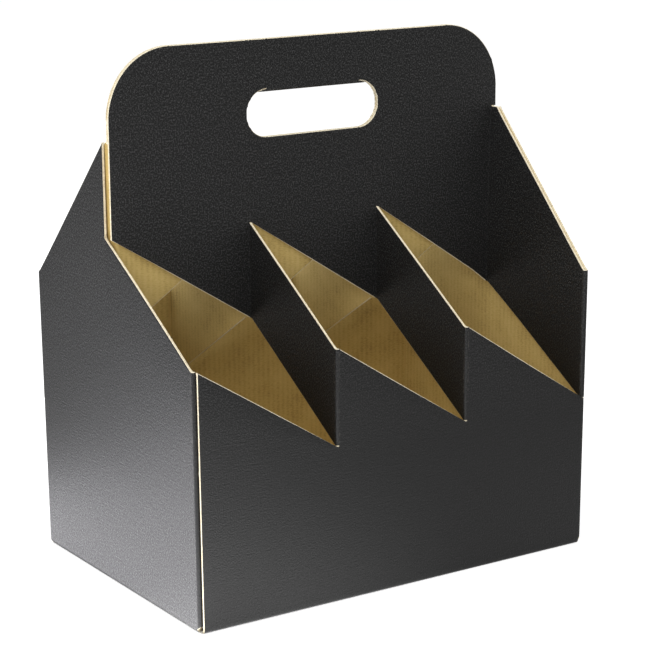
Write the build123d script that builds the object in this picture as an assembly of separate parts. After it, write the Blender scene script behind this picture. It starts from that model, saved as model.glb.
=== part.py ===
from build123d import *
import math
import os

# Carrier with two rows of open cells, cut and folded from one sheet of corrugated board.
# Millimetres, +Z up, front wall towards -Y, origin at the middle of the underside.
# The printed side of the board is outside on the walls, and on each front divider it faces left.
# The rear half is the front half turned by half a turn about Z, apart from the glued seam.

# Driving dimensions
COLUMNS = 3              # cells along X in each row
CELL_WIDTH = 88.0        # pitch of the cells along X
CELL_DEPTH = 90.0        # pitch of the two rows along Y
BOARD = 1.6              # thickness of the corrugated board
FOLD_RADIUS = 0.2        # radius on the inner side of a fold

# Cut edges of the walls and side panels, from the underside up
LOW_EDGE = 89.5          # height of each saw tooth's valley along the front and rear walls
TOOTH = 54.5             # rise from a valley to the tip of its tooth
HINGE = 55.0             # length of each divider's fold at the handle, above the level of the tips
SHOULDER_RISE = 22.0     # outer end of a side panel's tall half, above the level of the tips
PEAK_RISE = 52.5         # pointed inner end of the tall half, above the dividers' folds
STEP_SETBACK = 7.0       # free edge of the tall half, short of the centre plane

# Handle, two layers glued back to back on the centre plane
HANDLE_RISE = 50.5       # upper edge above the side panels' peaks
HANDLE_CORNER = 38.0     # radius of the two upper corners
GRIP_LENGTH = 90.0       # hand hole, with full round ends
GRIP_HEIGHT = 27.0
GRIP_DROP = 28.0         # hole's upper edge below the handle's
GRIP_TAB_TURN = 105.0    # degrees that the tab in the hole is pushed back and up
GRIP_TAB_CUT = 0.4       # width of the cut round the tab

# Glued seam at the front left corner
SEAM_TAB = 28.0          # width of the tab behind the front wall
SEAM_TAB_TAPER = 6.0     # rise of the tab's lower edge

# Floor, main flaps from the front and rear walls under two flaps from the side panels
FLOOR_SEAM = 1.0         # gap between the two main flaps
FLOOR_INSET = 2.5        # ends of the main flaps, set in from the ends of their walls
FLOOR_LOCK = 18.0        # reach of each main flap past the middle on its locking side
FLOOR_CROSS = 30.0       # half the length of the slanted crossing in the middle of the seam
SIDE_FLAP = 68.0         # length of a side flap
SIDE_FLAP_TAPER = 30.0   # narrowing of a side flap at each side of its free end

# Derived places
WIDTH = COLUMNS * CELL_WIDTH
DEPTH = 2 * CELL_DEPTH
RIGHT = WIDTH / 2
LEFT = -RIGHT
REAR = DEPTH / 2
FRONT = -REAR
HIGH_EDGE = LOW_EDGE + TOOTH
HINGE_TOP = HIGH_EDGE + HINGE
SHOULDER = HIGH_EDGE + SHOULDER_RISE
PEAK = HINGE_TOP + PEAK_RISE
HANDLE_TOP = PEAK + HANDLE_RISE
GRIP_TOP = HANDLE_TOP - GRIP_DROP
OUTER_RADIUS = FOLD_RADIUS + BOARD
WALL_LEFT = LEFT + OUTER_RADIUS
WALL_RIGHT = RIGHT - OUTER_RADIUS
SIDE_FOOT = BOARD + OUTER_RADIUS
HINGE_FRONT = FRONT + OUTER_RADIUS
HINGE_REAR = -BOARD - FOLD_RADIUS
FLAP_OUTER = RIGHT - BOARD
FLAP_INNER = RIGHT - 2 * BOARD
HANDLE_BEND = FLAP_INNER - FOLD_RADIUS
HINGES = [LEFT + CELL_WIDTH * (column + 1) for column in range(COLUMNS - 1)]


def board_along_x(outline, y):
    """Panel with an outline in X and Z, from y to one board further back."""
    return extrude(Plane.XZ.offset(-y) * outline, amount=BOARD, dir=(0, 1, 0))


def board_along_y(outline, x):
    """Panel with an outline in Y and Z, from x to one board further right."""
    return extrude(Plane.YZ.offset(x) * outline, amount=BOARD, dir=(1, 0, 0))


def board_flat(outline, z):
    """Panel with an outline in X and Y, from z to one board higher."""
    return extrude(Plane.XY.offset(z) * outline, amount=BOARD, dir=(0, 0, 1))


def panel(*points):
    """Outline of a flat panel through its corners."""
    return Polygon(*points, align=None)


def bend_section(start, turn, inner=FOLD_RADIUS):
    """Section of a fold about the origin, one board thick, from start over turn degrees."""
    outer = inner + BOARD
    edges = [CenterArc((0, 0), outer, start, turn)]
    if inner > 0:
        inside = CenterArc((0, 0), inner, start, turn)
        edges += [inside, Line(edges[0] @ 0, inside @ 0), Line(edges[0] @ 1, inside @ 1)]
    else:
        edges.append(Line(edges[0] @ 0, edges[0] @ 1))
    return make_face(edges)


def upright_fold(x, y, start, low, high, turn=90, inner=FOLD_RADIUS):
    """Vertical fold about the line at x and y, between two heights."""
    section = Pos(x, y, low) * bend_section(start, turn, inner)
    return extrude(section, amount=high - low, dir=(0, 0, 1))


def saw_tooth_wall():
    """Front wall: each cell's edge falls from its left end to the valley at its right end."""
    points = [(WALL_LEFT, OUTER_RADIUS), (WALL_LEFT, HIGH_EDGE)]
    for hinge in HINGES:
        points += [(hinge, LOW_EDGE), (hinge + OUTER_RADIUS, LOW_EDGE), (hinge + OUTER_RADIUS, HIGH_EDGE)]
    points += [(WALL_RIGHT, LOW_EDGE), (WALL_RIGHT, OUTER_RADIUS)]
    wall = board_along_x(panel(*points), FRONT)
    return wall + upright_fold(WALL_RIGHT, HINGE_FRONT, -90, SIDE_FOOT, LOW_EDGE)


def divider(hinge):
    """Slanted strip from its fold at the front wall back and up to its fold at the handle."""
    strip = panel(
        (HINGE_FRONT, LOW_EDGE), (HINGE_REAR, HIGH_EDGE), (HINGE_REAR, HINGE_TOP), (HINGE_FRONT, HIGH_EDGE)
    )
    front_fold = upright_fold(hinge + OUTER_RADIUS, HINGE_FRONT, 180, LOW_EDGE, HIGH_EDGE)
    rear_fold = upright_fold(hinge - FOLD_RADIUS, HINGE_REAR, 0, HIGH_EDGE, HINGE_TOP)
    return board_along_y(strip, hinge) + front_fold + rear_fold


def hand_hole():
    """Outline of the hand hole in X and Z."""
    return Pos(0, GRIP_TOP - GRIP_HEIGHT / 2) * SlotOverall(GRIP_LENGTH, GRIP_HEIGHT)


def handle_layer():
    """One layer of the handle: saw-toothed below, round corners above, with the hand hole."""
    points = [(LEFT, HINGE_TOP)]
    for hinge in HINGES:
        bend = hinge - FOLD_RADIUS
        points += [(bend, HIGH_EDGE), (bend, HINGE_TOP), (hinge + BOARD, HINGE_TOP)]
    points += [(HANDLE_BEND, HIGH_EDGE), (HANDLE_BEND, PEAK), (RIGHT, PEAK)]
    points += [(RIGHT, HANDLE_TOP), (LEFT, HANDLE_TOP)]
    outline = panel(*points)
    outline = fillet(outline.vertices().group_by(Axis.Y)[-1], HANDLE_CORNER)
    return board_along_x(outline - hand_hole(), -BOARD)


def glued_flap():
    """End flap of the handle layer, glued inside the tall half of the side panel."""
    outline = panel(
        (FRONT + BOARD, LOW_EDGE), (HINGE_REAR, HIGH_EDGE), (HINGE_REAR, PEAK),
        (-STEP_SETBACK, PEAK), (FRONT + BOARD, SHOULDER),
    )
    flap = board_along_y(outline, FLAP_INNER)
    handle_fold = upright_fold(HANDLE_BEND, HINGE_REAR, 0, HIGH_EDGE, PEAK)
    doubled_edge = upright_fold(FLAP_OUTER, FRONT + BOARD, 180, LOW_EDGE, SHOULDER, 180, 0)
    return flap + handle_fold + doubled_edge


def side_panel(rear_end):
    """Side panel: tall half in front with its free edge at the step, low half behind it."""
    outline = panel(
        (HINGE_FRONT, SIDE_FOOT), (HINGE_FRONT, LOW_EDGE), (FRONT + BOARD, LOW_EDGE),
        (FRONT + BOARD, SHOULDER), (-STEP_SETBACK, PEAK), (-STEP_SETBACK, HINGE_TOP),
        (rear_end, HIGH_EDGE), (rear_end, SIDE_FOOT),
    )
    corner = upright_fold(WALL_RIGHT, rear_end, 0, SIDE_FOOT, HIGH_EDGE)
    return board_along_y(outline, FLAP_OUTER) + corner


def main_floor_flap():
    """Lower layer of the floor, from the front wall's foot back to the slanting seam that locks it."""
    section = Pos(HINGE_FRONT, OUTER_RADIUS) * bend_section(180, 90)
    fold = extrude(Plane.YZ.offset(WALL_LEFT) * section, amount=WALL_RIGHT - WALL_LEFT, dir=(1, 0, 0))
    left, right = WALL_LEFT + FLOOR_INSET, WALL_RIGHT - FLOOR_INSET
    far = FLOOR_LOCK - FLOOR_SEAM / 2
    near = -FLOOR_LOCK - FLOOR_SEAM / 2
    outline = panel(
        (left, HINGE_FRONT), (right, HINGE_FRONT), (right, near),
        (FLOOR_CROSS, near), (-FLOOR_CROSS, far), (left, far),
    )
    return fold + board_flat(outline, 0)


def side_floor_flap(rear_end):
    """Upper layer of the floor, folded from a side panel's foot, narrowing to its free end."""
    section = Pos(WALL_RIGHT, SIDE_FOOT) * bend_section(-90, 90)
    fold = extrude(Plane.XZ.offset(-HINGE_FRONT) * section, amount=rear_end - HINGE_FRONT, dir=(0, 1, 0))
    tip = WALL_RIGHT - SIDE_FLAP
    outline = panel(
        (WALL_RIGHT, HINGE_FRONT), (WALL_RIGHT, rear_end),
        (tip, rear_end - SIDE_FLAP_TAPER), (tip, HINGE_FRONT + SIDE_FLAP_TAPER),
    )
    return fold + board_flat(outline, BOARD)


def seam_tab():
    """Tab folded from the side panel's rear end, glued inside the wall that covers it."""
    end = WALL_RIGHT - SEAM_TAB
    outline = panel(
        (WALL_RIGHT, SIDE_FOOT), (WALL_RIGHT, HIGH_EDGE), (end, LOW_EDGE), (end, SIDE_FOOT + SEAM_TAB_TAPER)
    )
    return board_along_x(outline, REAR - 2 * BOARD)


def half_carrier(with_seam):
    """Front half with its right side panel, which ends in the next wall or in the seam's tab."""
    rear_end = REAR - OUTER_RADIUS
    if with_seam:
        rear_end -= BOARD
    half = saw_tooth_wall() + handle_layer() + glued_flap() + side_panel(rear_end)
    half += main_floor_flap() + side_floor_flap(rear_end)
    for hinge in HINGES:
        half += divider(hinge)
    if with_seam:
        half += seam_tab()
    return half


def grip_tab():
    """Tab left in the front layer's hand hole, pushed through the handle and up behind it."""
    end = 180 + GRIP_TAB_TURN
    length = GRIP_LENGTH - 2 * GRIP_TAB_CUT
    section = Pos(FOLD_RADIUS, GRIP_TOP) * bend_section(180, GRIP_TAB_TURN)
    fold = extrude(Plane.YZ.offset(-length / 2) * section, amount=length, dir=(1, 0, 0))
    round_ends = Pos(0, GRIP_TOP - GRIP_HEIGHT / 2) * SlotOverall(length, GRIP_HEIGHT)
    fold &= extrude(Plane.XZ.offset(BOARD) * round_ends, amount=2 * OUTER_RADIUS, dir=(0, 1, 0))
    along_y, along_z = math.cos(math.radians(end)), math.sin(math.radians(end))
    face = Plane(
        origin=(0, FOLD_RADIUS + OUTER_RADIUS * along_y, GRIP_TOP + OUTER_RADIUS * along_z),
        x_dir=(1, 0, 0), z_dir=(0, -along_y, -along_z),
    )
    in_bend = math.radians(GRIP_TAB_TURN) * (FOLD_RADIUS + BOARD / 2)
    outline = SlotOverall(length, GRIP_HEIGHT - 2 * GRIP_TAB_CUT)
    outline = Pos(0, GRIP_HEIGHT / 2 - in_bend) * outline
    outline &= Rectangle(GRIP_LENGTH, GRIP_HEIGHT, align=(Align.CENTER, Align.MIN))
    return fold + extrude(face * outline, amount=BOARD, dir=face.z_dir)


def folded_carrier():
    """The whole folded and glued sheet."""
    front = half_carrier(with_seam=False)
    rear = Rot(0, 0, 180) * half_carrier(with_seam=True)
    return front + rear + grip_tab()


os.makedirs("parts", exist_ok=True)
export_step(folded_carrier(), "parts/folded_carrier.step")
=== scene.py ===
"""Carrier with two rows of three open cells, folded and glued from one sheet of fine corrugated board.

The whole sheet is one closed skin. It is worked out in millimetres as patches of board: each patch is a
grid of points on the printed liner, with the kraft liner one board behind it and a fluted rim on each cut
edge. Along a patch runs the blank's own length (columns), across it the direction of the flutes (rows).
"""
import bmesh
import bpy
import math
import numpy as np
from mathutils import Matrix, Vector


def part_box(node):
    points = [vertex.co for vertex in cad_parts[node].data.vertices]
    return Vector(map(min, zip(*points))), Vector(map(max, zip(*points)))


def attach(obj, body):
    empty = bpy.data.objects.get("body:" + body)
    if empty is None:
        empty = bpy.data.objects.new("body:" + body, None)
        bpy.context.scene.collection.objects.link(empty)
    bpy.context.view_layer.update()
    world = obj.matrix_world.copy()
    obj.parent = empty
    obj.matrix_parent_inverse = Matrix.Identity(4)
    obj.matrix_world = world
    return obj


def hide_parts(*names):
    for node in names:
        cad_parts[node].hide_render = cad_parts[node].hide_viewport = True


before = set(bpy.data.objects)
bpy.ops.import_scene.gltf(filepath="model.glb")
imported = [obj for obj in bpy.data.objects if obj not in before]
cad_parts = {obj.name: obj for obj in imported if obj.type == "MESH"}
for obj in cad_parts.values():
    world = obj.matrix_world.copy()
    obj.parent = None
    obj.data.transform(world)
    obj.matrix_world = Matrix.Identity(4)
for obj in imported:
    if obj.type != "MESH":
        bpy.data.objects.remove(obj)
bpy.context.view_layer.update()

MM = 0.001
NODE = "folded_carrier"
lowest, highest = (np.array(corner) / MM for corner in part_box(NODE))

# Overall sizes, from the frame
LEFT, FRONT = lowest[0], lowest[1]
RIGHT, REAR, HANDLE_TOP = highest

# Sizes of the cut and folded sheet, in millimetres
COLUMNS = 3
CELL_WIDTH = (RIGHT - LEFT) / COLUMNS
BOARD = 1.6
FOLD_RADIUS = 0.2
LOW_EDGE = 89.5
HIGH_EDGE = 144.0
HINGE_TOP = 199.0
SHOULDER = 166.0
PEAK = 251.5
STEP_SETBACK = 7.0
HANDLE_CORNER = 38.0
GRIP_LENGTH = 90.0
GRIP_HEIGHT = 27.0
GRIP_DROP = 28.0
GRIP_TAB_TURN = 105.0
GRIP_TAB_CUT = 0.4
SEAM_TAB = 28.0
SEAM_TAB_TAPER = 6.0
FLOOR_SEAM = 1.0
FLOOR_INSET = 2.5
FLOOR_LOCK = 18.0
FLOOR_CROSS = 30.0
SIDE_FLAP = 68.0
SIDE_FLAP_TAPER = 30.0
SIDE_FLAP_RISE = 2.0
SIDE_FLAP_CUT = 0.5

# Places that follow from them
OUTER_RADIUS = FOLD_RADIUS + BOARD
WALL_LEFT = LEFT + OUTER_RADIUS
WALL_RIGHT = RIGHT - OUTER_RADIUS
SIDE_FOOT = OUTER_RADIUS
CORNER_FOOT = BOARD + OUTER_RADIUS
HINGE_FRONT = FRONT + OUTER_RADIUS
HINGE_REAR = -BOARD - FOLD_RADIUS
FLAP_OUTER = RIGHT - BOARD
FLAP_INNER = FLAP_OUTER - BOARD
HANDLE_BEND = FLAP_INNER - FOLD_RADIUS
NOSE = FRONT + BOARD
STEP = -STEP_SETBACK
STEP_SHARE = (HINGE_TOP - LOW_EDGE) / (PEAK - LOW_EDGE)   # of the tall half's height, where the low half ends
GRIP_TOP = HANDLE_TOP - GRIP_DROP
GRIP_RADIUS = GRIP_HEIGHT / 2
GRIP_MIDDLE = GRIP_TOP - GRIP_RADIUS
GRIP_END = GRIP_LENGTH / 2
GRIP_STRAIGHT = GRIP_END - GRIP_RADIUS
CORNER_START = RIGHT - HANDLE_CORNER
HINGES = [LEFT + CELL_WIDTH * (column + 1) for column in range(COLUMNS - 1)]

# Make of the board
GLUE_GAP = 0.03          # air left between glued layers
FLUTE_PITCH = 3.6        # from one flute to the next
LINER_SHARE = 0.14       # of the board's thickness
MEDIUM_SHARE = 0.05      # half of the wavy core's own thickness
GLUE_SHARE = 0.02        # left between core and liner where they touch
EDGE_RECESS = 0.45       # depth of the air between liners and core, at a cut edge
RECESS_FADE = 1.2        # length over which it closes towards a corner
PINCH = 0.16             # flattening of each liner where the knife went through
PINCH_REACH = 1.8
PINCH_LEAST = 0.001      # shortest reach, where a patch runs to a point
BEVEL = {"low": 0.3, "high": 0.3, "start": 0.08, "end": 0.08}   # knife's slope, slim along a flute
BEVEL_FADE = 0.5         # length over which it closes towards a corner
BEVEL_ROOM = 0.4         # most that it takes of the row next to the edge
WEAR_REACH = 1.6         # width of the rubbed band along folds and cut edges
PANEL_BOW = 0.6          # how far walls and side panels bow inwards
LEAN = 1.5               # how far the side panels lean outwards, from the floor to the shoulders
LEAN_HELD = 1.0          # part of that lean which the handle holds back
HANDLE_WAVE = 0.45       # how far the handle's upper edge waves
WAVE_TURNS = 2.1         # half waves between the handle's middle and its end
WAVE_SHIFT = 0.7         # in radians
FLAP_GAP = 1.8           # air behind each glued flap next to the handle, where no glue reaches
FLAP_GAP_DEPTH = 45.0    # how far that gap runs away from the handle
FLAP_GIVE = 12.0         # stretch of the handle's end that moves with the flap
SEAM_GAP = 1.0           # air between the seam tab and the wall's raw edge, where no glue reaches
SEAM_GAP_DEPTH = 14.0

# Spacing of the grids
STATION = 0.9            # along the sheet, a quarter of a flute
FOLD_STATIONS = 9
STEEP_STATIONS = np.array([0.02, 0.1, 0.24, 0.46])   # extra columns where an arc runs upright
EDGE_ROWS = np.array([0, 0.03, 0.5, 0.97, 1])
DIGITS = 6               # to which places along a direction are rounded
SAME_STOP = 1e-6         # stops and places this close count as the same
SAME_PLACE = 1e-5
NO_LENGTH = 1e-9
WELD = 0.004             # points this close become one
SLIVER = 0.0005          # edges this short are closed up
SHARP_FOLD = 30.0        # in degrees, above which an edge is shaded sharp

PRINTED, KRAFT, CUT = range(3)


def columns(start, end, stops=(), steep=()):
    """Places along one direction: every stop, evenly divided stretches between stops, and extra ones near
    steep ends."""
    marks = np.unique(np.round([start, end, *stops], DIGITS))
    marks = marks[(marks >= min(start, end) - SAME_STOP) & (marks <= max(start, end) + SAME_STOP)]
    places = []
    for first, last in zip(marks[:-1], marks[1:]):
        places.append(np.linspace(first, last, max(2, math.ceil((last - first) / STATION) + 1)))
    places += [end_place + side * STEEP_STATIONS for end_place, side in steep]
    return np.unique(np.round(np.concatenate(places), DIGITS))


def between(places, first, last):
    """Those places that lie from first to last, in that direction."""
    low, high = min(first, last) - SAME_PLACE, max(first, last) + SAME_PLACE
    chosen = places[(places >= low) & (places <= high)]
    return chosen if last > first else chosen[::-1]


def along_x(x, y, facing):
    """Stations of an upright panel that runs along X: plan, direction that the print faces, and length along
    the sheet."""
    ones = np.ones_like(x)
    return np.stack([x, y * ones], 1), np.stack([0 * ones, facing * ones], 1), x


def along_y(y, x, facing):
    """Stations of an upright panel that runs along Y, as along_x gives them."""
    ones = np.ones_like(y)
    return np.stack([x * ones, y], 1), np.stack([facing * ones, 0 * ones], 1), y


def round_fold(x, y, radius, first, last, hollow=False):
    """Stations of an upright fold: an arc about x, y from one angle to another, with the print outside or, if
    hollow, inside."""
    angle = np.radians(np.linspace(first, last, FOLD_STATIONS))
    ray = np.stack([np.cos(angle), np.sin(angle)], 1)
    return np.array([x, y]) + radius * ray, -ray if hollow else ray, radius * angle


def unit(vectors):
    """Vectors at length one, and those of no length as they are."""
    size = np.linalg.norm(vectors, axis=-1, keepdims=True)
    return vectors / np.where(size < NO_LENGTH, 1, size)


def nearness(distance, reach):
    """1 at no distance, falling as a square to 0 at the reach."""
    return np.clip(1 - distance / reach, 0, 1) ** 2


def edge_lines(grid):
    """The four outer lines of a grid, each with the line next to it."""
    return {
        "low": (grid[0], grid[1]), "high": (grid[-1], grid[-2]),
        "start": (grid[:, 0], grid[:, 1]), "end": (grid[:, -1], grid[:, -2]),
    }


def run_length(line):
    """Distance along a line of points, from its first one."""
    return np.concatenate([[0], np.cumsum(np.linalg.norm(np.diff(line, axis=0), axis=1))])


def from_ends(line):
    """Distance along a line of points to the nearer of its two ends."""
    run = run_length(line)
    return np.minimum(run, run[-1] - run)


def edge_distance(face, edge):
    """Distance of each grid point from one outer line, measured along its own row or column."""
    line = edge_lines(face)[edge][0]
    line = line[None] if edge in ("low", "high") else line[:, None]
    return np.linalg.norm(face - line, axis=2)


def pinched(face, cut):
    """How far each point of a liner is pressed in: most at a cut edge, nothing at its reach and at the edge's
    two ends."""
    press = np.zeros(face.shape[:2])
    span = np.linalg.norm(face[-1] - face[0], axis=1)
    for edge in cut:
        line = edge_lines(face)[edge][0]
        open_share = np.clip(from_ends(line) / PINCH_REACH, 0, 1)
        if edge in ("low", "high"):
            reach = np.clip(span / 2, PINCH_LEAST, PINCH_REACH)[None]
            open_share = open_share[None] * reach / PINCH_REACH
        else:
            reach = PINCH_REACH
            open_share = open_share[:, None]
        press = np.maximum(press, PINCH * open_share * nearness(edge_distance(face, edge), reach))
    return press


def fluted_rim(printed, kraft, inner, along, bevel):
    """Cut edge across the board's thickness: liners with a narrow slope at their outer corners, a wavy core
    between them that swings from one liner to the other as a sine of the length along the sheet, and grooves
    between them. Slopes and grooves close towards the edge's two ends."""
    fade = np.clip(from_ends(printed) / RECESS_FADE, 0, 1)
    swing = 0.5 - LINER_SHARE - MEDIUM_SHARE - GLUE_SHARE
    core = 0.5 + fade * swing * np.sin(2 * np.pi * along / FLUTE_PITCH)
    before, behind = core - MEDIUM_SHARE, core + MEDIUM_SHARE
    none = np.zeros_like(core)
    share = np.stack([
        none, none + LINER_SHARE, (LINER_SHARE + before) / 2, before,
        behind, (behind + 1 - LINER_SHARE) / 2, none + 1 - LINER_SHARE, none + 1,
    ])
    inward = inner - printed
    room = np.linalg.norm(inward, axis=1)
    slope = np.minimum(bevel, BEVEL_ROOM * room) * np.clip(from_ends(printed) / BEVEL_FADE, 0, 1)
    groove_before = EDGE_RECESS * fade * np.clip((before - LINER_SHARE) / LINER_SHARE, 0, 1)
    groove_behind = EDGE_RECESS * fade * np.clip((1 - LINER_SHARE - behind) / LINER_SHARE, 0, 1)
    depth = np.stack([slope, none, groove_before, none, none, groove_behind, none, slope])
    way = unit(np.gradient(printed, axis=0))
    inward = unit(inward - (inward * way).sum(1, keepdims=True) * way)
    grid = printed + share[..., None] * (kraft - printed) + depth[..., None] * inward
    return grid, np.broadcast_to(-inward, grid.shape)


def board(face, facing, along, across, cut="", worn=""):
    """One patch of the sheet: printed liner, kraft liner behind it, and a rim on each edge that the knife
    cut. Worn edges, such as folds, are rubbed as cut ones are."""
    cut, worn = cut.split(), worn.split()
    press = pinched(face, cut)[..., None]
    printed = face - facing * press
    kraft = face - facing * (BOARD - GLUE_GAP - press)
    along = np.broadcast_to(along, across.shape)
    blank = np.dstack([along, across])
    wear = np.zeros(face.shape[:2])
    for edge in cut + worn:
        wear = np.maximum(wear, nearness(edge_distance(face, edge), WEAR_REACH))
    rims = []
    for edge in cut:
        line, inner = edge_lines(printed)[edge]
        length = edge_lines(along)[edge][0]
        rim, outward = fluted_rim(line, edge_lines(kraft)[edge][0], inner, length, BEVEL[edge])
        rim_blank = np.broadcast_to(edge_lines(blank)[edge][0], rim.shape[:2] + (2,))
        rims.append((rim, outward, CUT, rim_blank, np.ones(rim.shape[:2])))
    for edge, (rim, *_) in zip(cut, rims):
        edge_lines(printed)[edge][0][:] = rim[0]
        edge_lines(kraft)[edge][0][:] = rim[-1]
    return [(printed, facing, PRINTED, blank, wear), (kraft, -facing, KRAFT, blank, wear), *rims]


def upright(stations, low, high, rows, cut="", worn=""):
    """Upright patch: plan stations carried from the low to the high line."""
    plan, facing, along = stations
    low, high = low + 0 * along, high + 0 * along
    height = low + rows[:, None] * (high - low)
    x, y, facing_x, facing_y = (np.broadcast_to(line, height.shape) for line in (*plan.T, *facing.T))
    face = np.dstack([x, y, height])
    return board(face, np.dstack([facing_x, facing_y, np.zeros_like(height)]), along, height, cut, worn)


def ramp(places, first, last, from_height, to_height):
    """Straight line of heights from one place to another."""
    return from_height + (places - first) / (last - first) * (to_height - from_height)


def front_wall(raw_left):
    """Wall with a saw tooth over each cell, its round foot and its floor flap. The left end may be a raw
    cut."""
    stops = [place for hinge in HINGES for place in (hinge, hinge + OUTER_RADIUS)]
    flap_ends = [WALL_LEFT + FLOOR_INSET, WALL_RIGHT - FLOOR_INSET]
    places = columns(WALL_LEFT, WALL_RIGHT, [*stops, *flap_ends, -FLOOR_CROSS, FLOOR_CROSS])
    ends = [WALL_LEFT, *stops, WALL_RIGHT]
    grids = []
    for index, (first, last) in enumerate(zip(ends[:-1], ends[1:])):
        x = between(places, first, last)
        wall = along_x(x, FRONT, -1)
        is_tooth = index % 2 == 0
        raw = " start" if raw_left and index == 0 else ""
        grids += upright(wall, CORNER_FOOT, LOW_EDGE, EDGE_ROWS, ("" if is_tooth else "high") + raw)
        if is_tooth:
            worn = "start end" if index else "end"
            tooth = ramp(x, first, last, HIGH_EDGE, LOW_EDGE)
            grids += upright(wall, LOW_EDGE, tooth, EDGE_ROWS, "high" + raw, worn)
    x = between(places, *flap_ends)
    grids += wall_foot(between(places, WALL_LEFT, flap_ends[0]), "start low") + wall_foot(x, "")
    return grids + wall_foot(between(places, flap_ends[1], WALL_RIGHT), "low end") + floor_flap(x)


def wall_foot(x, cut):
    """Round fold between the floor flap and the wall: a quarter arc in Y and Z, carried along X, and a short
    upright."""
    angle = np.radians(np.linspace(270, 180, FOLD_STATIONS // 2 + 1))
    y = np.append(HINGE_FRONT + OUTER_RADIUS * np.cos(angle), FRONT)
    z = np.append(OUTER_RADIUS + OUTER_RADIUS * np.sin(angle), CORNER_FOOT)
    ray_y, ray_z = np.append(np.cos(angle), -1), np.append(np.sin(angle), 0)
    shape = (len(y), len(x))
    y, z, ray_y, ray_z = (np.broadcast_to(line[:, None], shape) for line in (y, z, ray_y, ray_z))
    face = np.dstack([np.broadcast_to(x, shape), y, z])
    return board(face, np.dstack([np.zeros(shape), ray_y, ray_z]), x, z, cut)


def floor_flap(x):
    """Main floor flap: flat on the ground from its locking seam, which slants in the middle, to the wall's
    foot."""
    reach = FLOOR_LOCK * np.interp(x, [-FLOOR_CROSS, FLOOR_CROSS], [1, -1])
    seam = reach - FLOOR_SEAM / 2
    y = seam + EDGE_ROWS[:, None] * (HINGE_FRONT - seam)
    face = np.dstack([np.broadcast_to(x, y.shape), y, np.zeros_like(y)])
    facing = np.zeros_like(face)
    facing[..., 2] = -1
    return board(face, facing, x, y, "low start end")


def divider(hinge):
    """Slanted strip between two cells, with its hollow fold at the handle and its round fold at the front
    wall."""
    y = between(columns(HINGE_FRONT, HINGE_REAR), HINGE_REAR, HINGE_FRONT)
    low = ramp(y, HINGE_REAR, HINGE_FRONT, HIGH_EDGE, LOW_EDGE)
    high = ramp(y, HINGE_REAR, HINGE_FRONT, HINGE_TOP, HIGH_EDGE)
    rear_fold = round_fold(hinge - FOLD_RADIUS, HINGE_REAR, FOLD_RADIUS, 90, 0, hollow=True)
    front_fold = round_fold(hinge + OUTER_RADIUS, HINGE_FRONT, OUTER_RADIUS, 180, 270)
    grids = upright(rear_fold, HIGH_EDGE, HINGE_TOP, EDGE_ROWS, "low high")
    grids += upright(along_y(y, hinge, -1), low, high, EDGE_ROWS, "low high", "end")
    return grids + upright(front_fold, LOW_EDGE, HIGH_EDGE, EDGE_ROWS, "low high", "start end low")


def handle_outline(x):
    """Upper edge of the handle, level with a quarter circle at each end."""
    over = np.clip(np.abs(x) - CORNER_START, 0, HANDLE_CORNER)
    return HANDLE_TOP - HANDLE_CORNER + np.sqrt(HANDLE_CORNER ** 2 - over ** 2)


def grip_half_height(x):
    """Half the height of the hand hole at a place along it, nothing at its round ends and outside it."""
    over = np.clip(np.abs(x) - GRIP_STRAIGHT, 0, GRIP_RADIUS)
    return np.sqrt(GRIP_RADIUS ** 2 - over ** 2)


def handle_places():
    """Columns of a handle layer, with a stop wherever its outline changes."""
    stops = [place for hinge in HINGES for place in (hinge - FOLD_RADIUS, hinge + BOARD)]
    stops += [-CORNER_START, CORNER_START, -GRIP_END, -GRIP_STRAIGHT, GRIP_STRAIGHT, GRIP_END, HANDLE_BEND]
    steep = [(LEFT, 1), (RIGHT, -1), (-GRIP_END, 1), (GRIP_END, -1)]
    return np.sort(stops), columns(LEFT, RIGHT, stops, steep)


def handle_layer(has_tab):
    """One handle layer: saw teeth below, a band up to the middle of the hand hole and one above it, to the
    round corners."""
    stops, places = handle_places()
    grids = []
    starts = [LEFT, *[hinge + BOARD for hinge in HINGES]]
    ends = [*[hinge - FOLD_RADIUS for hinge in HINGES], HANDLE_BEND]
    for first, last in zip(starts, ends):
        x = between(places, first, last)
        tooth = ramp(x, first, last, HINGE_TOP, HIGH_EDGE)
        grids += upright(along_x(x, -BOARD, -1), tooth, HINGE_TOP, EDGE_ROWS, "low")
    bounds = [LEFT, *stops, RIGHT]
    for first, last in zip(bounds[:-1], bounds[1:]):
        x = between(places, first, last)
        middle = (first + last) / 2
        in_grip = abs(middle) < GRIP_END
        past_bend = middle > HANDLE_BEND
        at_hinge = any(hinge - FOLD_RADIUS < middle < hinge + BOARD for hinge in HINGES)
        half = grip_half_height(x) if in_grip else 0 * x
        split = np.interp(np.abs(x), [GRIP_END, HANDLE_BEND], [GRIP_MIDDLE, PEAK])
        layer = along_x(x, -BOARD, -1)
        left_cut = " start" if first == LEFT else ""
        right_cut = " end" if last == RIGHT else ""
        if not past_bend:
            lower_cut = ("low " if at_hinge else "") + ("high" if in_grip else "")
            grids += upright(layer, HINGE_TOP, split - half, EDGE_ROWS, lower_cut + left_cut)
        on_tab = has_tab and abs(middle) < GRIP_STRAIGHT
        open_below = past_bend or (in_grip and not on_tab)
        upper_cut = ("low " if open_below else "") + "high"
        upper_cut += left_cut + right_cut
        grids += upright(layer, split + half, handle_outline(x), EDGE_ROWS, upper_cut)
    return grids


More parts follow.
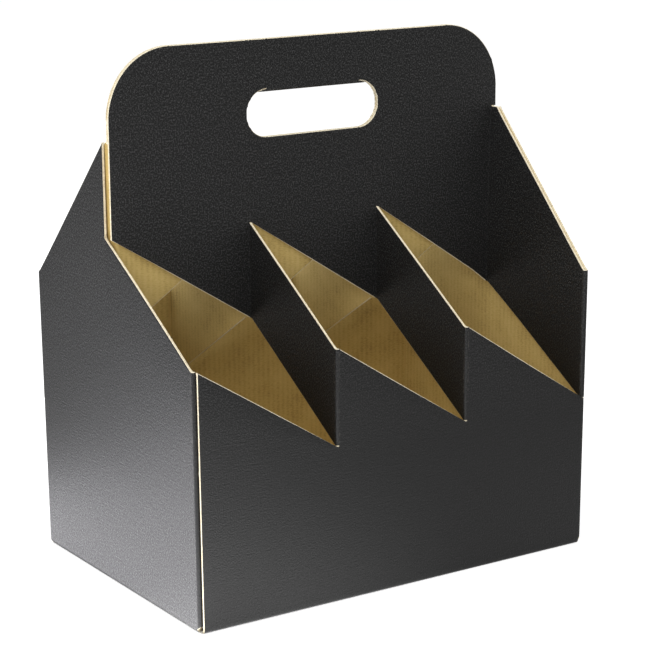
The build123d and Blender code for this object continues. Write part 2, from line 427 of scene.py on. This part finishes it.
def grip_tab():
    """Tab left in the hand hole: hinged along the hole's straight upper edge, bent round to the rear on an
    arc of its middle line, then flat. Across its round ends it starts and stops on half ellipses."""
    _, places = handle_places()
    end = GRIP_END - GRIP_TAB_CUT
    end_radius = end - GRIP_STRAIGHT
    turn = math.radians(GRIP_TAB_TURN)
    middle_radius = FOLD_RADIUS + BOARD / 2
    bend = turn * middle_radius
    depth = GRIP_HEIGHT - GRIP_TAB_CUT
    flat_rows = bend + EDGE_ROWS[1:] * (depth - bend)
    rows = np.concatenate([np.linspace(0, bend, FOLD_STATIONS), flat_rows]) / depth
    straight = between(places, -GRIP_STRAIGHT, GRIP_STRAIGHT)
    right = columns(GRIP_STRAIGHT, end, steep=[(end, -1)])
    grids = []
    for x, cut in ((-right[::-1], "low high"), (straight, "high"), (right, "low high")):
        over = np.clip(np.abs(x) - GRIP_STRAIGHT, 0, end_radius) / end_radius
        inset = 1 - np.sqrt(1 - over ** 2)
        start, stop = GRIP_RADIUS * inset, depth - end_radius * inset
        reach = start + rows[:, None] * (stop - start)
        angle = np.minimum(reach / middle_radius, turn)
        beyond = np.maximum(reach - bend, 0)
        y = -BOARD + OUTER_RADIUS * (1 - np.cos(angle)) + beyond * np.sin(angle)
        z = GRIP_TOP - OUTER_RADIUS * np.sin(angle) - beyond * np.cos(angle)
        face = np.dstack([np.broadcast_to(x, y.shape), y, z])
        facing = np.dstack([np.zeros_like(y), -np.cos(angle), -np.sin(angle)])
        grids += board(face, facing, x, reach, cut)
    return grids


def glued_flap():
    """End flap of the handle layer, from its hollow fold forward to the doubled edge that turns it into the
    side panel."""
    places = columns(NOSE, HINGE_REAR, [STEP])
    y = between(places, HINGE_REAR, NOSE)
    low = ramp(y, HINGE_REAR, NOSE, HIGH_EDGE, LOW_EDGE)
    high = np.interp(y, [NOSE, STEP], [SHOULDER, PEAK])
    rear_share = (HINGE_TOP - HIGH_EDGE) / (PEAK - HIGH_EDGE)
    split = low + ramp(y, HINGE_REAR, NOSE, rear_share, STEP_SHARE) * (high - low)
    flap = along_y(y, FLAP_INNER, -1)
    fold = round_fold(HANDLE_BEND, HINGE_REAR, FOLD_RADIUS, 90, 0, hollow=True)
    doubled = round_fold(FLAP_OUTER, NOSE, BOARD, 180, 360)
    split_at_nose = LOW_EDGE + STEP_SHARE * (SHOULDER - LOW_EDGE)
    grids = upright(fold, HIGH_EDGE, HINGE_TOP, EDGE_ROWS, "low")
    grids += upright(fold, HINGE_TOP, PEAK, EDGE_ROWS, "high")
    grids += upright(flap, low, split, EDGE_ROWS, "low", "end")
    grids += upright(flap, split, high, EDGE_ROWS, "high", "end")
    grids += upright(doubled, LOW_EDGE, split_at_nose, EDGE_ROWS, "low", "start end")
    return grids + upright(doubled, split_at_nose, SHOULDER, EDGE_ROWS, "high", "start end")


def side_panel(rear_end):
    """Right side panel: round corner from the front wall, tall half up to the step, low half behind it, round
    rear corner, and the floor flap folded from its foot."""
    places = columns(NOSE, rear_end, [HINGE_FRONT, STEP])
    corner = round_fold(WALL_RIGHT, HINGE_FRONT, OUTER_RADIUS, 270, 360)
    rear_corner = round_fold(WALL_RIGHT, rear_end, OUTER_RADIUS, 0, 90)
    corner_low = np.linspace(CORNER_FOOT, SIDE_FOOT, FOLD_STATIONS)
    grids = upright(corner, corner_low, LOW_EDGE, EDGE_ROWS, "low high", "start end")
    for first, last in ((NOSE, HINGE_FRONT), (HINGE_FRONT, STEP)):
        y = between(places, first, last)
        tall = along_y(y, RIGHT, 1)
        high = np.interp(y, [NOSE, STEP], [SHOULDER, PEAK])
        split = LOW_EDGE + STEP_SHARE * (high - LOW_EDGE)
        bottom_cut = "low" if first == NOSE else ""
        step_cut = " end" if last == STEP else ""
        grids += upright(tall, LOW_EDGE, split, EDGE_ROWS, bottom_cut)
        grids += upright(tall, split, high, EDGE_ROWS, "high" + step_cut)
    y = between(places, STEP, rear_end)
    low_half = ramp(y, STEP, rear_end, HINGE_TOP, HIGH_EDGE)
    grids += upright(along_y(y, RIGHT, 1), LOW_EDGE, low_half, EDGE_ROWS, "high", "end")
    y = between(places, HINGE_FRONT, rear_end)
    grids += upright(along_y(y, RIGHT, 1), SIDE_FOOT, LOW_EDGE, EDGE_ROWS, "", "start end")
    grids += upright(rear_corner, corner_low[::-1], LOW_EDGE, EDGE_ROWS, "low", "start end")
    grids += upright(rear_corner, LOW_EDGE, HIGH_EDGE, EDGE_ROWS, "high", "start end")
    return grids + side_floor_flap(y, rear_end)


def side_floor_flap(y, rear_end):
    """Floor flap of a side panel: a quarter arc in X and Z at its foot, then up over the main flaps, flat and
    narrowing to its free end."""
    angle = np.radians(np.linspace(0, -90, FOLD_STATIONS // 2 + 1))
    shape = (len(angle), len(y))
    ray_x = np.broadcast_to(np.cos(angle)[:, None], shape)
    ray_z = np.broadcast_to(np.sin(angle)[:, None], shape)
    middle, half = (HINGE_FRONT + rear_end) / 2, (rear_end - HINGE_FRONT) / 2
    narrowing = 1 - SIDE_FLAP_CUT / half * np.linspace(0, 1, len(angle))[:, None]
    narrowed = middle + (y - middle) * narrowing
    face = np.dstack([WALL_RIGHT + OUTER_RADIUS * ray_x, narrowed, SIDE_FOOT + OUTER_RADIUS * ray_z])
    grids = board(face, np.dstack([ray_x, np.zeros(shape), ray_z]), y, -face[..., 2], "start end")
    from_side = np.minimum(y - HINGE_FRONT, rear_end - y)
    length = SIDE_FLAP * np.clip(from_side / SIDE_FLAP_TAPER, 0, 1)
    reach = EDGE_ROWS[:, None] * length
    reach[1] = np.minimum(SIDE_FLAP_RISE, length / 2)
    x = WALL_RIGHT - reach
    rise = BOARD * np.clip(reach / SIDE_FLAP_RISE, 0, 1)
    flat = np.dstack([x, np.broadcast_to(narrowed[-1], x.shape), rise])
    facing = np.zeros_like(flat)
    facing[..., 2] = -1
    return grids + board(flat, facing, y, x, "high")


def seam_tab(rear_end):
    """Tab folded from the side panel's rear corner, which the next wall is glued over."""
    x = between(columns(WALL_RIGHT - SEAM_TAB, WALL_RIGHT), WALL_RIGHT, WALL_RIGHT - SEAM_TAB)
    last = x[-1]
    closed = 1 - nearness(WALL_RIGHT - x, SEAM_GAP_DEPTH)
    tab = along_x(x, rear_end + OUTER_RADIUS + SEAM_GAP * closed, 1)
    low = ramp(x, WALL_RIGHT, last, CORNER_FOOT, CORNER_FOOT + SEAM_TAB_TAPER)
    high = ramp(x, WALL_RIGHT, last, HIGH_EDGE, LOW_EDGE)
    grids = upright(tab, low, LOW_EDGE, EDGE_ROWS, "low end")
    return grids + upright(tab, LOW_EDGE, high, EDGE_ROWS, "high")


def half_carrier(is_rear):
    """Front half with its right side panel. The rear half is the same but for the seam, which its side panel
    ends in."""
    rear_end = REAR - OUTER_RADIUS - (BOARD + SEAM_GAP if is_rear else 0)
    grids = front_wall(raw_left=not is_rear) + handle_layer(has_tab=not is_rear)
    grids += glued_flap() + side_panel(rear_end)
    for hinge in HINGES:
        grids += divider(hinge)
    return grids + (seam_tab(rear_end) if is_rear else grip_tab())


def half_turn(grids):
    """The same patches after half a turn about Z, further along the blank."""
    turn = np.array([-1, -1, 1])
    shift = np.array([RIGHT - LEFT + REAR - FRONT, 0])
    return [(points * turn, outward * turn, finish, blank + shift, wear)
            for points, outward, finish, blank, wear in grids]


def flap_gap(x, y, z):
    """How far a glued flap stands off its side panel: most next to the handle, as a square of the distance
    from it, and closing towards the peak as a root of the height left. Nothing on the panel itself."""
    is_flap = (x * y < 0) & (np.abs(x) < FLAP_OUTER)
    height_left = np.clip((PEAK - z) / (PEAK - HINGE_TOP), 0, 1)
    at_end = np.clip((np.abs(x) - HANDLE_BEND + FLAP_GIVE) / FLAP_GIVE, 0, 1)
    return FLAP_GAP * is_flap * np.sqrt(height_left) * at_end * nearness(np.abs(y), FLAP_GAP_DEPTH)


def settled(points):
    """Gentle give of real board: side panels lean outwards up to their shoulders, as a cube of the distance
    from the middle and in step with the height. Walls and side panels bow inwards between their corners, as a
    sine of the height. Glued flaps stand off a little, and the handle's top waves as a sine along it."""
    x, y, z = points.T
    across, deep = x / RIGHT, y / REAR
    free_lean = LEAN - LEAN_HELD * (1 - deep ** 2)
    lean = across ** 3 * np.clip(z / SHOULDER, 0, 1) * free_lean - across * LEAN
    upright_share = np.sin(np.pi * np.clip(z / HINGE_TOP, 0, 1))
    raised = np.clip((z - HINGE_TOP) / (HANDLE_TOP - HINGE_TOP), 0, 1)
    wave = HANDLE_WAVE * raised * np.sin(WAVE_TURNS * np.pi * across + WAVE_SHIFT)
    bow = PANEL_BOW * across ** 3 * (1 - deep ** 2) * upright_share
    return np.stack([
        x + lean - bow - np.sign(x) * flap_gap(x, y, z),
        y - PANEL_BOW * deep ** 3 * (1 - across ** 2) * upright_share + wave,
        z,
    ], 1)


def quads_of(points, outward, first):
    """Four-sided faces of a grid, turned so that they face outward."""
    rows, across = points.shape[:2]
    index = first + np.arange(rows * across).reshape(rows, across)
    quads = np.stack([index[:-1, :-1], index[:-1, 1:], index[1:, 1:], index[1:, :-1]], 2).reshape(-1, 4)
    normal = np.cross(points[1:, 1:] - points[:-1, :-1], points[1:, :-1] - points[:-1, 1:])
    agrees = (normal * outward[:-1, :-1]).sum() > 0
    return quads if agrees else quads[:, ::-1]


def sheet_mesh(name, grids):
    """One mesh from all patches, with shared lines welded, the blank's own flat map and the rubbed
    bands."""
    quads, count = [], 0
    for points, outward, *_ in grids:
        quads.append(quads_of(points, outward, count))
        count += points.shape[0] * points.shape[1]
    finish = np.concatenate([np.full(len(q), g[2]) for q, g in zip(quads, grids)])
    quads = np.concatenate(quads)
    points = np.concatenate([g[0].reshape(-1, 3) for g in grids])
    blank = np.concatenate([g[3].reshape(-1, 2) for g in grids])
    wear = np.concatenate([g[4].reshape(-1) for g in grids])
    mesh = bpy.data.meshes.new(name)
    mesh.from_pydata((settled(points) * MM).tolist(), [], quads.tolist())
    mesh.polygons.foreach_set("material_index", finish.astype(np.int32))
    mesh.polygons.foreach_set("use_smooth", np.ones(len(quads), bool))
    flat_map = mesh.uv_layers.new(name="blank")
    flat_map.uv.foreach_set("vector", (blank[quads.ravel()] * MM).astype(np.float32).ravel())
    rubbed = mesh.attributes.new("wear", "FLOAT", "POINT")
    rubbed.data.foreach_set("value", wear.astype(np.float32))
    skin = bmesh.new()
    skin.from_mesh(mesh)
    bmesh.ops.remove_doubles(skin, verts=skin.verts, dist=WELD * MM)
    bmesh.ops.dissolve_degenerate(skin, edges=skin.edges, dist=SLIVER * MM)
    skin.to_mesh(mesh)
    skin.free()
    mesh.set_sharp_from_angle(angle=math.radians(SHARP_FOLD))
    return mesh


# Print: grains are in swells per metre of the flat blank, along the sheet and across it
THREADS_ALONG = (900.0, 120.0)
THREADS_ACROSS = (120.0, 1100.0)
SPECKS = (1250.0, 1050.0)
THREAD_SHARE = 0.35                  # of the threads in the weave's height, beside the specks
WEAVE_STRENGTH = 0.9
WEAVE_HEIGHT = 0.0003                # in metres
SPECK_LIMITS = (0.48, 0.74)          # of the grain, where a speck begins and where it is full
GLINT_HEIGHTS = (0.08, 0.18)       # in metres, between which specks grow denser, as painted glints of the grain lit at a grazing angle
GLINT_LEAST = 0.1
PRINT_BLACK = (0.006, 0.006, 0.006)
# colour of the pale specks of the print, and of the painted glints that they add higher up
PRINT_SPECK_AND_GLINT = (0.07, 0.07, 0.07)
PRINT_RUBBED = (0.07, 0.066, 0.058, 1)
PRINT_SPECULAR = 0.2
GLOSS_LIMITS = (0.3, 0.7)            # of the grain, between the dull and the shiny end
PRINT_ROUGHNESS = (0.62, 0.28)
RUB_PATCHES = (500.0, 4.0)           # swells per metre and detail
RUB_LIMITS = (0.45, 0.7)
RUB_POWER = 3.0

# Kraft
PULP = (60.0, 5.0, 0.6)              # swells per metre, detail and roughness
FIBRES = (420.0, 1900.0)
FIBRE_DETAIL, FIBRE_ROUGHNESS = 3.0, 0.65
PULP_SHARE, FIBRE_SHARE, FLUTE_SHARE = 0.45, 0.55, 0.035      # in the tone
FIBRE_RELIEF, FLUTE_RELIEF = 1.2, 0.5                         # in the bump
KRAFT_TONES = [(0.28, (0.31, 0.21, 0.075)), (0.48, (0.535, 0.39, 0.135)), (0.72, (0.64, 0.485, 0.2))]
KRAFT_ROUGHNESS = 0.82
KRAFT_SPECULAR = 0.25
KRAFT_STRENGTH = 0.5
KRAFT_HEIGHT = 0.00005

# Cut paper
FUZZ = (900.0, 4.0, 0.6)             # swells per metre, detail and roughness
CUT_TONES = [(0.25, (0.56, 0.47, 0.32)), (0.55, (0.8, 0.73, 0.56)), (0.8, (0.87, 0.82, 0.68))]
CUT_ROUGHNESS = 0.9
CUT_SPECULAR = 0.2
CUT_STRENGTH = 0.4
CUT_HEIGHT = 0.0001


def shader(name):
    """New material, its node tree and its main shader."""
    material = bpy.data.materials.new(name)
    material.use_nodes = True
    tree = material.node_tree
    return material, tree, tree.nodes["Principled BSDF"]


def add(tree, kind, links=None, **settings):
    """New node of a kind, with its settings and the sockets or values that feed its inputs."""
    node = tree.nodes.new(kind)
    for key, value in settings.items():
        setattr(node, key, value)
    for key, value in (links or {}).items():
        if isinstance(value, bpy.types.NodeSocket):
            tree.links.new(value, node.inputs[key])
        else:
            node.inputs[key].default_value = value
    return node


def math_node(tree, operation, first, second=0.0):
    """Result of one sum of two values or sockets."""
    return add(tree, "ShaderNodeMath", {0: first, 1: second}, operation=operation).outputs[0]


def stripes(tree, place, pitch):
    """Sine of a place in metres, once per pitch in millimetres."""
    return math_node(tree, "SINE", math_node(tree, "MULTIPLY", place, 2 * math.pi / (pitch * MM)))


def map_range(tree, value, limits, results=(0.0, 1.0), **settings):
    """Value carried from its two limits to two results, in a straight line unless a setting says otherwise,
    and held at them outside."""
    links = {"Value": value, "From Min": limits[0], "From Max": limits[1]}
    links.update({"To Min": results[0], "To Max": results[1]})
    return add(tree, "ShaderNodeMapRange", links, **settings).outputs["Result"]


def relief(tree, main, height, strength, distance):
    """Bump on a main shader from a height, with its strength and its distance in metres."""
    bump = add(tree, "ShaderNodeBump", {"Height": height, "Strength": strength, "Distance": distance})
    tree.links.new(bump.outputs["Normal"], main.inputs["Normal"])


def colour_ramp(tree, factor, stops):
    """Colours at places from 0 to 1, blended in between."""
    ramp_node = add(tree, "ShaderNodeValToRGB", {"Fac": factor})
    elements = ramp_node.color_ramp.elements
    while len(elements) < len(stops):
        elements.new(0.5)
    for element, (place, colour) in zip(elements, stops):
        element.position = place
        element.color = (*colour, 1)
    return ramp_node.outputs["Color"]


def sheet_places(tree):
    """Places on the flat blank, the part of them along the sheet, and places in space."""
    flat = add(tree, "ShaderNodeUVMap", uv_map="blank").outputs["UV"]
    parts = add(tree, "ShaderNodeSeparateXYZ", {0: flat})
    space = add(tree, "ShaderNodeTexCoord").outputs["Object"]
    return flat, parts.outputs["X"], space


def noise(tree, place, scale, detail, roughness=0.5):
    """Cloudy value from 0 to 1 with so many swells in a metre."""
    links = {"Vector": place, "Scale": scale, "Detail": detail, "Roughness": roughness}
    return add(tree, "ShaderNodeTexNoise", links).outputs["Fac"]


def streaks(tree, flat, swells, detail=2.0, roughness=0.6):
    """Cloudy value from 0 to 1 on the flat blank, with so many swells in a metre along the sheet and across
    it."""
    stretched = add(tree, "ShaderNodeMapping", {"Vector": flat, "Scale": (*swells, 1.0)}).outputs[0]
    return noise(tree, stretched, 1.0, detail, roughness)


def printed_liner():
    """Black satin print with a fine linen grain of crossed threads, pale specks, and grey rubbing along folds
    and cut edges. Towards the handle the specks grow denser with height: painted glints, standing in for the
    grain lit at a grazing angle."""
    material, tree, main = shader("printed_liner")
    flat, _, space = sheet_places(tree)
    threads = math_node(tree, "ADD", streaks(tree, flat, THREADS_ALONG), streaks(tree, flat, THREADS_ACROSS))
    specks = streaks(tree, flat, SPECKS)
    weave = math_node(tree, "ADD", math_node(tree, "MULTIPLY", threads, THREAD_SHARE), specks)
    relief(tree, main, weave, WEAVE_STRENGTH, WEAVE_HEIGHT)
    main.inputs["Specular IOR Level"].default_value = PRINT_SPECULAR
    height = add(tree, "ShaderNodeSeparateXYZ", {0: space}).outputs["Z"]
    # Painted glints: the specks grow denser with height, standing in for the grain lit at a grazing angle
    painted_glints = map_range(tree, height, GLINT_HEIGHTS, (GLINT_LEAST, 1.0))
    specks_and_painted_glints = math_node(tree, "MULTIPLY", map_range(tree, specks, SPECK_LIMITS), painted_glints)
    wear = add(tree, "ShaderNodeAttribute", attribute_name="wear").outputs["Fac"]
    rub_stops = [(RUB_LIMITS[0], (0, 0, 0)), (RUB_LIMITS[1], (1, 1, 1))]
    patchy = colour_ramp(tree, noise(tree, space, *RUB_PATCHES), rub_stops)
    rubbed = math_node(tree, "MULTIPLY", math_node(tree, "POWER", wear, RUB_POWER), patchy)
    black = colour_ramp(tree, specks_and_painted_glints, [(0.0, PRINT_BLACK), (1.0, PRINT_SPECK_AND_GLINT)])
    colour = add(tree, "ShaderNodeMix", {0: rubbed, 6: black, 7: PRINT_RUBBED}, data_type="RGBA")
    tree.links.new(colour.outputs[2], main.inputs["Base Color"])
    tree.links.new(map_range(tree, specks, GLOSS_LIMITS, PRINT_ROUGHNESS), main.inputs["Roughness"])
    return material


def kraft_liner():
    """Plain brown liner: cloudy pulp, short fibres that lie along the sheet, and the flutes showing faintly
    through."""
    material, tree, main = shader("kraft_liner")
    flat, along, space = sheet_places(tree)
    pulp = math_node(tree, "MULTIPLY", noise(tree, space, *PULP), PULP_SHARE)
    fibres = streaks(tree, flat, FIBRES, FIBRE_DETAIL, FIBRE_ROUGHNESS)
    flutes = stripes(tree, along, FLUTE_PITCH)
    tone = math_node(tree, "ADD", pulp, math_node(tree, "MULTIPLY", fibres, FIBRE_SHARE))
    tone = math_node(tree, "ADD", tone, math_node(tree, "MULTIPLY", flutes, FLUTE_SHARE))
    tree.links.new(colour_ramp(tree, tone, KRAFT_TONES), main.inputs["Base Color"])
    main.inputs["Roughness"].default_value = KRAFT_ROUGHNESS
    main.inputs["Specular IOR Level"].default_value = KRAFT_SPECULAR
    waves = math_node(tree, "MULTIPLY", flutes, FLUTE_RELIEF)
    height = math_node(tree, "ADD", waves, math_node(tree, "MULTIPLY", fibres, FIBRE_RELIEF))
    relief(tree, main, height, KRAFT_STRENGTH, KRAFT_HEIGHT)
    return material


def cut_board():
    """Freshly cut paper of the liners and the core, pale and fibrous."""
    material, tree, main = shader("cut_board")
    _, _, space = sheet_places(tree)
    fuzz = noise(tree, space, *FUZZ)
    tree.links.new(colour_ramp(tree, fuzz, CUT_TONES), main.inputs["Base Color"])
    main.inputs["Roughness"].default_value = CUT_ROUGHNESS
    main.inputs["Specular IOR Level"].default_value = CUT_SPECULAR
    relief(tree, main, fuzz, CUT_STRENGTH, CUT_HEIGHT)
    return material


def carrier():
    """The whole sheet as one object with its three finishes."""
    grids = half_carrier(is_rear=False) + half_turn(half_carrier(is_rear=True))
    mesh = sheet_mesh("folded_board", grids)
    for material in (printed_liner(), kraft_liner(), cut_board()):
        mesh.materials.append(material)
    piece = bpy.data.objects.new("folded_board", mesh)
    bpy.context.scene.collection.objects.link(piece)
    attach(piece, "root")
    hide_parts(NODE)


# Studio, in metres
WHITE = (1, 1, 1, 1)
FLOOR_HALF = 60.0
FLOOR_DROP = 0.0001
FLOOR_COLOUR = (0.84, 0.84, 0.84, 1)
FLOOR_ROUGHNESS = 0.9
FLOOR_LIFT = 0.58                    # glow that makes the lit floor white
FLOOR_GLOSS = (0.3, 0.7)             # distances between which reflections lose sight of that glow
SHADE_INSET_X, SHADE_INSET_Y = 2.5, 1.7                   # in millimetres, inside the carrier's sides
FLOOR_SHADE_X = (RIGHT - SHADE_INSET_X) * MM              # half of the part that stays dark under it
FLOOR_SHADE_Y = (REAR - SHADE_INSET_Y) * MM
AMBIENT = 0.5
BRIGHT_PATCH_AT = (-0.13, -0.2, 0)   # soft bright patch of the floor, for reflections alone
BRIGHT_PATCH_REACH = 0.23
BRIGHT_PATCH = 9.0                   # how many times the glow it adds at its middle

# Lamps: name, place, what it aims at, size, power in watts and colour
CENTRE = (0, 0, 0.15)
CARD_AT = (-0.3008, 0.03, 0.0008)
CARD_AIM = (-0.3008, 0.03, 1)
LAMPS = [
    ("overhead", (-0.2, -0.3, 1.6), CENTRE, 1.2, 14, (1, 1, 1)),
    ("front_left", (-1.5, -1.2, 1.1), CENTRE, 0.9, 14, (1, 1, 1)),
    ("rear_left_card", CARD_AT, CARD_AIM, 0.34, 1.78, (0.96, 0.95, 1)),
]

# Camera, fitted to the corners of the carrier
CAMERA_AT = Vector((-0.66105, -1.01407, 0.43107))
CAMERA_LOOK = Vector((0.53487, 0.81045, -0.23890))
CAMERA_ROLL = math.radians(-0.279)
SENSOR = 36.0
LENS = 118.48
CLIP_START, CLIP_END = 0.05, 200


def white_where_seen(tree):
    """How much of the floor's glow a ray sees: all of it from the camera or through a clear material, and off
    a gloss all of it near the carrier and less further away, with a soft bright patch in front. None of it
    under the carrier."""
    path = add(tree, "ShaderNodeLightPath").outputs
    place = add(tree, "ShaderNodeTexCoord").outputs["Object"]
    distance = add(tree, "ShaderNodeVectorMath", {0: place}, operation="LENGTH").outputs["Value"]
    near = map_range(tree, distance, FLOOR_GLOSS, (1.0, 0.0))
    links = {0: place, 1: BRIGHT_PATCH_AT}
    to_patch = add(tree, "ShaderNodeVectorMath", links, operation="DISTANCE").outputs["Value"]
    reach, brightness = (0.0, BRIGHT_PATCH_REACH), (1 + BRIGHT_PATCH, 1.0)
    patch = map_range(tree, to_patch, reach, brightness, interpolation_type="SMOOTHSTEP")
    reflected = math_node(tree, "MULTIPLY", near, patch)
    glossy = math_node(tree, "MULTIPLY", path["Is Glossy Ray"], reflected)
    seen = math_node(tree, "MAXIMUM", path["Is Camera Ray"], path["Is Transmission Ray"])
    parts = add(tree, "ShaderNodeSeparateXYZ", {0: place}).outputs
    beside = math_node(tree, "GREATER_THAN", math_node(tree, "ABSOLUTE", parts["X"]), FLOOR_SHADE_X)
    before = math_node(tree, "GREATER_THAN", math_node(tree, "ABSOLUTE", parts["Y"]), FLOOR_SHADE_Y)
    outside = math_node(tree, "MAXIMUM", beside, before)
    return math_node(tree, "MULTIPLY", math_node(tree, "MAXIMUM", seen, glossy), outside)


def dim_world():
    """Even soft light from all round, greyer than the floor."""
    world = bpy.data.worlds.new("studio")
    bpy.context.scene.world = world
    world.use_nodes = True
    background = world.node_tree.nodes["Background"]
    background.inputs["Color"].default_value = WHITE
    background.inputs["Strength"].default_value = AMBIENT


def studio_floor():
    """Plain white floor that keeps the carrier's soft shadow."""
    half, drop = FLOOR_HALF, -FLOOR_DROP
    mesh = bpy.data.meshes.new("studio_floor")
    corners = [(-half, -half, drop), (half, -half, drop), (half, half, drop), (-half, half, drop)]
    mesh.from_pydata(corners, [], [(0, 1, 2, 3)])
    material, tree, main = shader("studio_floor")
    main.inputs["Base Color"].default_value = FLOOR_COLOUR
    main.inputs["Roughness"].default_value = FLOOR_ROUGHNESS
    main.inputs["Specular IOR Level"].default_value = 0.0
    main.inputs["Emission Color"].default_value = WHITE
    glow = math_node(tree, "MULTIPLY", white_where_seen(tree), FLOOR_LIFT)
    tree.links.new(glow, main.inputs["Emission Strength"])
    mesh.materials.append(material)
    floor = bpy.data.objects.new("studio_floor", mesh)
    bpy.context.scene.collection.objects.link(floor)


def soft_box(name, place, aim, size, power, colour):
    """Square area light at a place, turned to what it aims at."""
    lamp = bpy.data.lights.new(name, "AREA")
    lamp.shape = "SQUARE"
    lamp.size = size
    lamp.energy = power
    lamp.color = colour
    light = bpy.data.objects.new(name, lamp)
    light.location = place
    light.rotation_euler = (Vector(aim) - Vector(place)).to_track_quat("-Z", "Y").to_euler()
    light.visible_camera = False
    bpy.context.scene.collection.objects.link(light)


def photo_camera():
    """Camera at the photograph's place, turned by its small roll."""
    look = CAMERA_LOOK.normalized()
    side = look.cross(Vector((0, 0, 1))).normalized()
    up = side.cross(look)
    cosine, sine = math.cos(CAMERA_ROLL), math.sin(CAMERA_ROLL)
    right, top = side * cosine + up * sine, up * cosine - side * sine
    data = bpy.data.cameras.new("photo_camera")
    data.sensor_width = SENSOR
    data.lens = LENS
    data.clip_start, data.clip_end = CLIP_START, CLIP_END
    camera = bpy.data.objects.new("photo_camera", data)
    turn = Matrix((right, top, -look)).transposed().to_4x4()
    camera.matrix_world = Matrix.Translation(CAMERA_AT) @ turn
    bpy.context.scene.collection.objects.link(camera)
    bpy.context.scene.camera = camera


carrier()
dim_world()
studio_floor()
for lamp in LAMPS:
    soft_box(*lamp)
photo_camera()

bpy.context.scene.view_settings.view_transform = "Standard"
